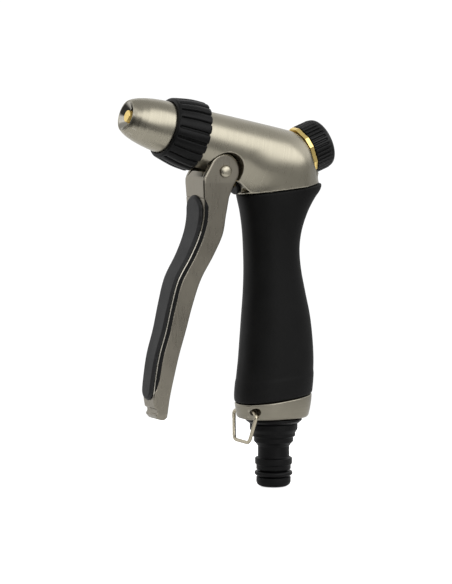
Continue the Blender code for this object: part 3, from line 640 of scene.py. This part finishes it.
piece(skin("handle_core", core_field, (-20.0, -14.5, 40.0), (24.5, 14.5, 151.5), 1.1), "body", ["body_casting"], barrel_nickel)


# ---------------------------------------------------------------- grip and end collar
def grip_field(x, y, z):
    outer = oval(grip_curves, x, y, z)
    above = plane(SEAM_LOW, 0.0, x, z)
    # the lowest part stands a little proud, as a soft band
    outer = outer - 0.28 * (0.5 - 0.5 * np.tanh((above - 10.5) / 0.8)) + 0.28
    inner = oval(grip_curves, x, y, z) + 2.7
    solid = smax(outer, plane(SEAM_TOP, -0.15, x, z), 1.3)
    solid = smax(solid, -plane(SEAM_LOW, 0.15, x, z), 1.2)
    return smax(solid, -inner, 0.4)


piece(skin("grip_rubber_sleeve", grip_field, (-22.5, -17.0, 40.5), (27.5, 17.0, 151.0), 0.7), "body", ["grip_sleeve"], grip_rubber)

collar_curves = curve_of(COLLAR)


def collar_field(x, y, z):
    outer = oval(collar_curves, x, y, z)
    solid = smax(outer, 34.0 - z, 2.2)
    solid = smax(solid, plane(SEAM_LOW, -0.15, x, z), 0.7)
    solid = smax(solid, 9.4 - np.sqrt(x**2 + y**2), 0.4)
    hole = np.sqrt((x - BAIL_HOLE[0]) ** 2 + (z - BAIL_HOLE[1]) ** 2) - BAIL_HOLE[2]
    return smax(solid, -hole, 0.25)


piece(skin("end_collar_cast", collar_field, (-22.0, -17.0, 32.0), (21.5, 17.0, 48.0), 0.4), "body", ["end_collar"], collar_nickel)

# ---------------------------------------------------------------- tail
tail_out = [
    (9.1, 58.0), (9.1, 31.2), (11.8, 31.2), (11.8, 28.3), (10.7, 26.5), (10.7, 24.9), (9.7, 24.3), (9.7, 22.2), (8.5, 21.0),
    (7.75, 19.8), (7.75, 14.5), (9.15, 14.0), (9.15, 11.1), (8.5, 10.6), (8.5, 8.4), (6.6, 8.4), (6.6, 4.6), (8.5, 4.6),
    (8.5, 2.2), (7.9, 0.8), (6.5, 0.0), (5.2, 0.0), (5.2, 58.0), (9.1, 58.0),
]
tail_radii = [0.3, 0.5, 0.8, 0.5, 0.4, 0.4, 0.5, 0.5, 0.8, 0.8, 0.5, 0.5, 0.5, 0.3, 0.3, 0.3, 0.3, 0.3, 1.0, 1.0, 0.3, 0.3]
piece(turned("tail_nipple", fillet(tail_out, tail_radii)[:-1], WORLD), "body", ["tail_connector"], tail_plastic)


def torus(name, centre_r, section_r, height, place, minor=20):
    loop = [(centre_r + section_r * math.cos(t), height + section_r * math.sin(t)) for t in np.linspace(0, -2 * np.pi, minor, endpoint=False)]
    return turned(name, loop, place, 120, 180.0)


piece(torus("tail_seal_ring", 8.15, 1.2, 6.5, WORLD), "body", ["tail_oring"], seal_rubber)
piece(turned("tail_flat_seal", fillet([(11.0, 33.7), (13.9, 33.7), (13.9, 32.7), (12.5, 31.5), (9.4, 31.5), (9.4, 33.7), (11.0, 33.7)], 0.35)[:-1], WORLD), "body", ["tail_washer"], seal_rubber)

# ---------------------------------------------------------------- lock bail
down = Vector((-math.sin(BAIL_LEAN), 0.0, -math.cos(BAIL_LEAN)))
half = fillet([(-0.5, 7.2), (2.05, 11.55), (15.2, 7.55), (15.2, 0.0)], [1.9, 3.4], 14)
half = half[:-1] + [(15.2, y) for y in (3.0, 1.5)]
bail_line = [(d, -y) for d, y in half] + [(15.2, 0.0)] + [(d, y) for d, y in reversed(half)]
bail_path = [Vector(BAIL_PIVOT) + down * d + Vector((0.0, y, 0.0)) for d, y in bail_line]
piece(swept("bail_wire", bail_path, 0.9), "bail", ["lock_bail"], wire_nickel)

# ---------------------------------------------------------------- trigger
trigger_front, trigger_rear, trigger_half = curve_of(TRIGGER)
heights = np.linspace(143.0, 44.0, 70)
front_line = [(-39.2, 159.9), (-43.2, 153.0), (-43.7, 151.4), (-43.7, 149.0)] + [(float(trigger_front(z)), float(z)) for z in heights]
front_line += [(-67.2, 39.3), (-65.9, 37.7), (-64.0, 36.9)]
outline = front_line + [(-62.2, 36.9), (-61.0, 37.9)]
outline += [(float(trigger_rear(z)), float(z)) for z in heights[::-1]]
outline += [(-27.2, 148.6)] + arc((px - 0.3, pz + 0.35), EAR_R + 0.1, -38.0, 148.0, 48)
side_shape = polygon(outline)
front_shape = polygon(front_line + [(60.0, 20.0), (60.0, 175.0), (-30.0, 175.0)])
hollow = [(-43.2, 155.9), (-70.0, 155.9), (-70.0, 172.0), (-5.0, 172.0), (-5.0, 49.0)]
hollow += [(float(trigger_front(z)) + 4.3, float(z)) for z in np.linspace(49.0, 143.0, 60)]
hollow += [(-40.6, 149.6), (-39.9, 154.9)]
hollow_shape = polygon(hollow)
foot, axis_v, normal_v = Vector((px, pz)), Vector((CV, SV)), Vector((SV, -CV))
lever = (Vector((FACE[0], FACE[2])) - foot).dot(normal_v)
cam = foot + normal_v * (lever * math.cos(SQUEEZE / 2)) - axis_v * (lever * math.sin(SQUEEZE / 2))
rib_shape = polygon([(-42.0, cam.y + 1.9), (-42.0, cam.y - 2.4)] + arc((cam.x, cam.y), 2.5, -90.0, 55.0, 20))
PAD_TOP, PAD_LOW = 144.0, 46.4


def width_at(z):
    """Half width over the cheeks, out to the ears at the top and in to the tip."""
    body = np.where(z > 143.0, 9.7 + np.clip((z - 143.0) / 7.0, 0.0, 1.0) * 0.3, trigger_half(z))
    return np.where(z < 42.0, 5.8 - np.clip((40.2 - z) / 4.0, 0.0, 1.3) ** 2 * 1.1, body)


def pad_outline():
    w = lambda z: float(trigger_half(z)) * 0.85
    top, low = PAD_TOP, PAD_LOW
    ts = (1 - np.cos(np.linspace(0, np.pi, 90)[1:-1])) / 2
    right = []
    for z in top + (low - top) * ts:
        d = max(min(top - z, z - low), 0.0)
        right.append((w(z) * math.sqrt(max(1.0 - max(1.0 - d / w(z), 0.0) ** 2, 0.0)), float(z)))
    return polygon([(0.0, top)] + right + [(0.0, low)] + [(-y, z) for y, z in reversed(right)])


pad_inner = pad_outline()


def shade_layer_share(z):
    """One where the dark layer behind the front plate, painted shade for the groove beside the pad, is at its full
    depth, falling to zero at the web and at the tip.
    """
    return np.clip((143.0 - z) / 4.0, 0.0, 1.0) * np.clip((z - 48.0) / 8.0, 0.0, 1.0)


def trigger_field(x, y, z):
    deep = -front_shape(x, z)  # how far behind the front line
    wide = np.abs(y)
    solid = smax(side_shape(x, z), (wide - width_at(z)) * 0.99, 1.1)
    inner = np.where(z > 145.0, EAR_IN, np.where(z > 143.0, EAR_IN, width_at(z) - 2.4))
    solid = smax(solid, -smax(hollow_shape(x, z), wide - inner, 1.0), 0.5)
    # the seat of the front plate and the dark layer behind it, which paints the groove's shade
    seat = deep - (0.42 + 1.65 * shade_layer_share(z)) * np.clip((z - 49.0) / 3.0, 0.0, 1.0)
    solid = smax(solid, -np.maximum(seat, z - 142.7), 0.25)
    # the web ends in a low gable between the ears
    gable = (163.4 - 1.39 * wide - z) * 0.58
    solid = smax(solid, -np.maximum(np.maximum(gable, wide - EAR_IN), 149.6 - z), 0.25)
    solid = smin(solid, smax(rib_shape(x, z), wide - 3.2, 0.6), 0.6)
    solid = smax(solid, 2.5 - np.sqrt((x - px) ** 2 + (z - pz) ** 2), 0.3)
    notch = np.sqrt((x + 67.8) ** 2 + (z - 41.5) ** 2) - 1.5
    return smax(solid, -notch, 0.4)


piece(skin("trigger_lever_cast", trigger_field, (-71.5, -11.5, 34.5), (-21.5, 11.5, 166.0), 0.42), "trigger", ["trigger_lever"], lever_nickel)


def front_plate(name, line, half_at, sink_at, thick_at, r):
    """A thin plate with rounded edges that follows a line in the XZ plane, listed from the top down."""
    pts = np.array(line, float)
    run = np.concatenate([[0.0], np.cumsum(np.hypot(*np.diff(pts, axis=0).T))])
    at = np.arange(0.0, run[-1], 0.5)
    x, z = np.interp(at, run, pts[:, 0]), np.interp(at, run, pts[:, 1])
    tx, tz = np.gradient(x), np.gradient(z)
    size = np.hypot(tx, tz)
    nx, nz = -tz / size, tx / size
    turn = np.radians(np.linspace(0, 90, 7))
    rows = []
    for k in range(len(at)):
        half, thick = half_at(z[k]), thick_at(z[k])
        edge = [(half - r + r * math.cos(u), r - r * math.sin(u)) for u in turn]
        loop = [(half, thick)] + edge + [(-y, d) for y, d in reversed(edge)] + [(-half, thick)]
        sink = sink_at(z[k])
        rows.append([(x[k] + nx[k] * (d + sink), y, z[k] + nz[k] * (d + sink)) for y, d in loop])
    wide = len(rows[0])
    faces = [(k * wide + i, k * wide + (i + 1) % wide, (k + 1) * wide + (i + 1) % wide, (k + 1) * wide + i)
             for k in range(len(rows) - 1) for i in range(wide)]
    faces += [tuple(range(wide)), tuple(range((len(rows) - 1) * wide, len(rows) * wide))]
    mesh = bpy.data.meshes.new(name)
    mesh.from_pydata([tuple(c * MM for c in q) for row in rows for q in row], [], faces)
    return finished(name, mesh, WORLD, 40.0)


def plate_sink(z):
    return 0.15 * max(0.0, min(1.0, (51.0 - z) / 2.5))


def plate_half(z):
    return float(width_at(np.float64(z))) - 0.42 - plate_sink(z)


plate_line = lambda high, low: [(float(trigger_front(z)), float(z)) for z in np.linspace(high, low, 160)]
piece(front_plate("trigger_front_plate_top", plate_line(142.6, 127.0), plate_half, plate_sink, lambda z: 0.47, 0.22), "trigger", ["trigger_lever"], lever_nickel)
# the lower plate wears the paler copy of the lever's metal, a painted highlight along its edge
piece(front_plate("trigger_front_plate", plate_line(127.0, 48.3), plate_half, plate_sink, lambda z: 0.47, 0.22), "trigger", ["trigger_lever"], plate_painted_highlight_nickel)
# a dark layer behind the front plate, showing at its sides as painted shade in the groove
shade_layer_line = [(float(trigger_front(z)), float(z)) for z in np.linspace(142.5, 50.0, 120)]
piece(front_plate("trigger_shade_layer", shade_layer_line, lambda z: float(width_at(np.float64(z))) - 0.12 - 0.9 * (1.0 - float(shade_layer_share(z))), lambda z: 0.44,
                  lambda z: 0.12 + 1.6 * float(shade_layer_share(z)), 0.1), "trigger", ["trigger_pad"], shade_layer_rubber)


def pad_field(x, y, z):
    deep = -front_shape(x, z)
    edge = pad_inner(y, z)
    crown = 1.3 + 0.25 * np.clip(np.abs(z - 100.0) / 35.0, 0.0, 1.0)
    chamfer = (edge - 1.0 * (deep + 0.4)) * 0.707
    return smax(smax(smax(edge, -deep - crown, 0.3), chamfer, 0.3), deep + 0.02, 0.2)


piece(skin("trigger_pad_rubber", pad_field, (-73.0, -9.0, 44.0), (-40.0, 9.0, 147.0), 0.42), "trigger", ["trigger_pad"], pad_rubber)

head = EAR_OUT + 0.3
dome = [(0.0, head + 1.7)] + [(3.0 * math.sin(u), head + 0.15 + 1.55 * math.cos(u)) for u in np.radians(np.linspace(8, 90, 12))]
rivet = dome + [(3.0, head), (2.2, head)]
piece(turned("pivot_rivet_domed", rivet + [(r, -z) for r, z in reversed(rivet)], ACROSS, 64), "body", ["pivot_rivet"], steel)

# ---------------------------------------------------------------- valve pieces that show between the ears
tip = (cam - Vector((FACE[0], FACE[2]))).dot(axis_v) + 2.5 + 0.25
stem = [(0.0, -12.6), (2.0, -12.6), (2.2, -12.9), (2.2, -17.4), (6.5, -17.4), (6.5, -18.9), (1.8, -18.9), (1.8, tip + 0.5), (1.3, tip), (0.0, tip)]
piece(turned("valve_push_stem", fillet(stem, [0.2, 0, 0.2, 0.2, 0.2, 0.2, 0.2, 0.3], 4), VALVE, 64), "valve", ["valve_stem"], brass)
gland = [(3.0, -33.4), (4.0, -33.4), (4.0, -38.8), (5.4, -38.8), (5.4, -40.4), (2.1, -40.4), (2.1, -33.4), (3.0, -33.4)]
piece(turned("gland_nut_turned", fillet(gland, [0.2, 0.1, 0.3, 0.4, 0.2, 0.2], 4)[:-1], VALVE, 72), "body", ["gland_nut"], tail_plastic)

# ---------------------------------------------------------------- flow control
HEX_TURN = math.radians(276.0)
FLAT, CUT = 12.5 * math.cos(math.radians(18.3)), 12.5 * math.cos(math.radians(11.7))


def hexed(u):
    """Radius of a hexagon with broad cut corners."""
    a = (u - HEX_TURN + math.pi / 6) % (math.pi / 3) - math.pi / 6  # off a flat's middle
    b = (u - HEX_TURN) % (math.pi / 3) - math.pi / 6  # off a cut corner's middle
    return np.minimum(FLAT / np.cos(a), CUT / np.cos(b))


bonnet_rows = [(0.3, 0.3), (0.08, 0.38), (0.0, 0.6), (0.0, 2.2), (0.08, 2.42), (0.3, 2.5)]
bonnet_inner = [(8.0, 2.5), (3.75, 2.5), (3.75, -7.0), (9.0, -7.0), (9.0, -2.6), (7.5, -2.6), (7.5, -0.9), (9.0, -0.9), (9.0, 0.3)]
piece(wrapped("bonnet_hexagon", lambda u, k: hexed(u) - bonnet_rows[k][0], [z for _, z in bonnet_rows], 720, VALVE, bonnet_inner, 20.0), "body", ["bonnet_nut"], brass)

KNOB_R, KNOB_RIBS = 12.5, 36
knob_rows = [(2.95, -0.2, 0.8), (3.0, -0.06, 1.0), (3.25, 0.0, 1.0)]
knob_rows += [(z, 0.0, 1.0) for z in np.linspace(4.0, 10.4, 12)]
knob_rows += [(10.75, -0.04, 0.9), (11.05, -0.1, 0.55), (11.3, -0.18, 0.15), (11.5, -0.26, 0.0)]
knob_rows += [(11.5 + 2.75 * math.sin(u), -0.26 - 3.1 * (1 - math.cos(u)), 0.0) for u in np.radians(np.linspace(8, 88, 14))]


def knob_radius(u, k):
    z, inset, share = knob_rows[k]
    wave = 0.5 + 0.5 * np.cos(KNOB_RIBS * u)
    groove = 1.0 - np.clip((wave - 0.18) / 0.5, 0.0, 1.0) ** 0.8
    return KNOB_R + inset - 0.85 * share * groove


knob_inner = [(8.0, 14.25), (3.4, 14.3), (3.4, 12.1), (1.7, 12.1), (1.7, 10.2), (3.7, 10.2), (3.7, 2.8), (4.6, 2.8), (4.6, 10.7), (10.6, 10.7), (10.6, 2.95)]
piece(wrapped("flow_knob_ribbed", knob_radius, [r[0] for r in knob_rows], KNOB_RIBS * 18, VALVE, knob_inner, 50.0), "flow_control", ["flow_knob"], knob_plastic)

# ---------------------------------------------------------------- nozzle
shell = [
    (6.9, -0.75), (7.08, -0.1), (7.3, 0.0), (7.6, -0.2), (8.5, -1.5), (9.65, -4.2), (10.6, -7.4), (11.4, -11.2), (12.0, -15.2),
    (12.4, -19.0), (12.6, -24.0), (12.6, -34.0), (9.6, -34.0), (9.6, -22.2), (11.5, -22.2), (11.5, -19.6), (9.6, -19.6),
    (9.6, -13.0), (8.6, -11.0), (4.6, -7.0), (4.6, -4.0), (6.9, -0.75),
]
shell_radii = [0.15, 0.2, 0.4, 6.0, 9.0, 12.0, 18.0, 30.0, 30.0, 30.0, 0.4, 0.4, 0.3, 0.3, 0.3, 0.3, 0.3, 0.3, 0.3, 0.3]
piece(turned("nozzle_shell_turned", fillet(shell, shell_radii, 8)[:-1], NOZZLE, 192), "nozzle", ["nozzle_shell"], turned_nickel)
mouth = [(6.0, -1.1), (7.02, -0.18), (7.06, -0.5), (4.75, -4.2), (4.55, -6.6), (3.8, -6.6), (3.7, -4.6), (4.3, -3.0), (6.0, -1.1)]
piece(turned("nozzle_mouth_cone", fillet(mouth, [0.1, 0.1, 0.3, 0.1, 0.3, 0.8, 0.8], 8)[:-1], NOZZLE, 192), "nozzle", ["nozzle_shell"], mouth_nickel)

SLEEVE_RIBS = 20
sleeve_rows = [(-20.9, 13.3, 0.0), (-20.93, 13.7, 0.0), (-21.05, 14.1, 0.0), (-21.3, 14.45, 0.0), (-21.65, 14.68, 0.0), (-22.0, 14.8, 0.1),
               (-22.35, 14.9, 0.5), (-22.8, 15.05, 0.9)]
sleeve_rows += [(-q, 15.05 + 1.8 * math.sin(math.pi / 2 * (q - 22.8) / 12.2) ** 1.05, 1.0) for q in np.linspace(23.4, 35.0, 14)]
sleeve_rows += [(-36.0, 16.92, 1.0), (-37.2, 16.95, 1.0), (-37.7, 16.9, 1.0), (-37.98, 16.7, 1.0), (-38.1, 16.4, 1.0), (-38.1, 15.4, 0.6), (-38.1, 14.6, 0.0)]


def sleeve_radius(u, k):
    q, r, share = sleeve_rows[k]
    pitch = (u * SLEEVE_RIBS / (2 * np.pi) + 0.25) % 1.0
    off = np.abs(pitch - 0.5) * 2.0  # 0 at a groove's middle, 1 on the rib
    groove = 1.0 - np.clip((off - 0.16) / 0.16, 0.0, 1.0)
    groove = groove * groove * (3 - 2 * groove)
    crown = 0.22 * (1.0 - np.clip((off - 0.3) / 0.7, 0.0, 1.0)) ** 2
    return r - share * (1.0 * groove + crown)


sleeve_inner = [(14.3, -38.1), (14.3, -34.3), (12.9, -34.3), (12.9, -20.9)]
piece(wrapped("nozzle_grip_ribbed", sleeve_radius, [r[0] for r in sleeve_rows], SLEEVE_RIBS * 28, NOZZLE, sleeve_inner, 50.0), "nozzle", ["nozzle_grip"], sleeve_rubber)

tip_profile = [(0.0, -0.62), (2.2, -0.6), (2.7, -0.65), (2.9, -0.9), (2.9, -5.0), (1.8, -7.5), (1.8, -21.6), (0.0, -21.6)]
piece(turned("spray_tip_turned", fillet(tip_profile, [0.3, 0.3, 0.2, 0.4, 0.4, 0.2], 5), NOZZLE, 96), "body", ["spray_tip"], brass)

# ---------------------------------------------------------------- pieces that stay inside
for node, mat in (
    ("socket_oring", seal_rubber), ("stem_oring", seal_rubber), ("bonnet_oring", seal_rubber), ("spindle_oring", seal_rubber),
    ("nozzle_oring", seal_rubber), ("valve_disc", seal_rubber), ("return_spring", steel), ("knob_screw", steel),
    ("flow_spindle", acetal), ("tip_holder", brass),
):
    keep(node, mat)

# ---------------------------------------------------------------- floor, light, camera
floor_mat = Nodes("pale_floor")
floor_mat.shader.inputs["Base Color"].default_value = (0.93, 0.93, 0.93, 1.0)
floor_mat.shader.inputs["Roughness"].default_value = 0.9
floor_mat.shader.inputs["Specular IOR Level"].default_value = 0.0
floor_mat.shader.inputs["Emission Color"].default_value = (1.0, 1.0, 1.0, 1.0)
watched = floor_mat.add("ShaderNodeLightPath").outputs["Is Camera Ray"]
floor_mat.link(floor_mat.math("MULTIPLY", watched, 0.8), floor_mat.shader.inputs["Emission Strength"])
floor_mesh = bpy.data.meshes.new("floor")
floor_rim = [(0.26 * math.cos(u) - 0.03, 0.26 * math.sin(u), 0.0) for u in np.linspace(0, 2 * np.pi, 96, endpoint=False)]
floor_mesh.from_pydata(floor_rim, [], [tuple(range(96))])
floor = bpy.data.objects.new("floor", floor_mesh)
floor.location.z = -0.0005
floor_mesh.materials.append(floor_mat.mat)
bpy.context.scene.collection.objects.link(floor)

# a dim studio with one big softbox to the right of the camera, a smaller one high on the left, pale walls
# behind the object and above it; the backdrop itself is white
RIGHT, UP, BACK = Vector((0.88295, -0.46947, 0.0)), Vector((0.04092, 0.07696, 0.99619)), Vector((-0.46768, -0.87958, 0.08716))
world = bpy.data.worlds.new("studio")
bpy.context.scene.world = world
world.use_nodes = True
tree = world.node_tree


class Sky:
    """Light as a function of direction."""

    def __init__(self):
        self.way = tree.nodes.new("ShaderNodeTexCoord").outputs["Generated"]

    def math(self, op, a, b):
        node = tree.nodes.new("ShaderNodeMath")
        node.operation = op
        for socket, value in zip(node.inputs, (a, b)):
            if isinstance(value, (int, float)):
                socket.default_value = value
            else:
                tree.links.new(value, socket)
        return node.outputs[0]

    def along(self, axis):
        node = tree.nodes.new("ShaderNodeVectorMath")
        node.operation = "DOT_PRODUCT"
        tree.links.new(self.way, node.inputs[0])
        node.inputs[1].default_value = axis
        return node.outputs["Value"]

    def step(self, value, low, high, start=0.0, end=1.0):
        node = tree.nodes.new("ShaderNodeMapRange")
        node.interpolation_type = "SMOOTHSTEP"
        for key, number in (("From Min", low), ("From Max", high), ("To Min", start), ("To Max", end)):
            node.inputs[key].default_value = number
        tree.links.new(value, node.inputs["Value"])
        return node.outputs["Result"]

    def panel(self, lon, lat, half_lon, half_lat, soft, level, tilt=0.0):
        """A soft-edged rectangle of light about a direction; angles in degrees."""
        lo, la = math.radians(lon), math.radians(lat)
        out = (RIGHT * math.sin(lo) + BACK * math.cos(lo)) * math.cos(la) + UP * math.sin(la)
        u = (RIGHT * math.cos(lo) - BACK * math.sin(lo)).normalized()
        v = out.cross(u).normalized()
        if v.dot(UP) < 0:
            v = -v
        t = math.radians(tilt)
        u, v = u * math.cos(t) + v * math.sin(t), v * math.cos(t) - u * math.sin(t)
        shares = self.step(self.along(out), 0.05, 0.2)
        for axis, half in ((u, half_lon), (v, half_lat)):
            off = self.math("ABSOLUTE", self.along(axis), 0.0)
            edge = math.sin(math.radians(half))
            spread = math.sin(math.radians(soft))
            shares = self.math("MULTIPLY", shares, self.step(off, edge - spread, edge + spread, 1.0, 0.0))
        return self.math("MULTIPLY", shares, level)


sky = Sky()
front = sky.step(sky.along(RIGHT), -0.2, 0.8, 0.07, 0.36)
low_right = sky.math("MULTIPLY", sky.step(sky.along(RIGHT), 0.1, 0.5), sky.step(sky.along(UP), 0.05, 0.35, 1.0, 0.0))
back = sky.math("SUBTRACT", 0.92, sky.math("MULTIPLY", low_right, 0.47))
walls = sky.step(sky.along(BACK), -0.5, 0.15)
light = sky.math("ADD", sky.math("MULTIPLY", front, walls), sky.math("MULTIPLY", sky.math("SUBTRACT", 1.0, walls), back))
top = sky.step(sky.along(UP), 0.66, 0.86)
light = sky.math("ADD", sky.math("MULTIPLY", light, sky.math("SUBTRACT", 1.0, top)), sky.math("MULTIPLY", top, 0.52))
light = sky.math("ADD", light, sky.panel(43.0, 23.0, 32.0, 20.0, 7.0, 1.95, 30.0))
light = sky.math("ADD", light, sky.panel(-40.0, 36.0, 44.0, 21.0, 8.0, 1.1))
light = sky.math("ADD", light, sky.panel(102.0, 32.0, 26.0, 14.0, 8.0, 0.6))
seen = tree.nodes.new("ShaderNodeLightPath").outputs["Is Camera Ray"]
backdrop = tree.nodes.new("ShaderNodeMix")
backdrop.data_type = "FLOAT"
tree.links.new(seen, backdrop.inputs[0])
tree.links.new(light, backdrop.inputs[2])
backdrop.inputs[3].default_value = 1.05
background = tree.nodes["Background"]
background.inputs["Color"].default_value = (1.0, 1.0, 1.0, 1.0)
tree.links.new(backdrop.outputs[0], background.inputs["Strength"])


camera_data = bpy.data.cameras.new("camera")
camera = bpy.data.objects.new("camera", camera_data)
bpy.context.scene.collection.objects.link(camera)
target = Vector((-26.46, 0.0, 96.40)) + UP * 0.2
camera.matrix_world = Matrix((RIGHT, UP, BACK)).transposed().to_4x4()
camera.location = (target + BACK * 1200.0) * MM
camera_data.sensor_fit = "AUTO"
camera_data.sensor_width = 36.0
camera_data.lens = 2481.6 / 584.0 * 36.0
camera_data.clip_start, camera_data.clip_end = 0.01, 100.0
bpy.context.scene.camera = camera
bpy.context.scene.view_settings.view_transform = "Standard"
bpy.context.scene.view_settings.look = "None"
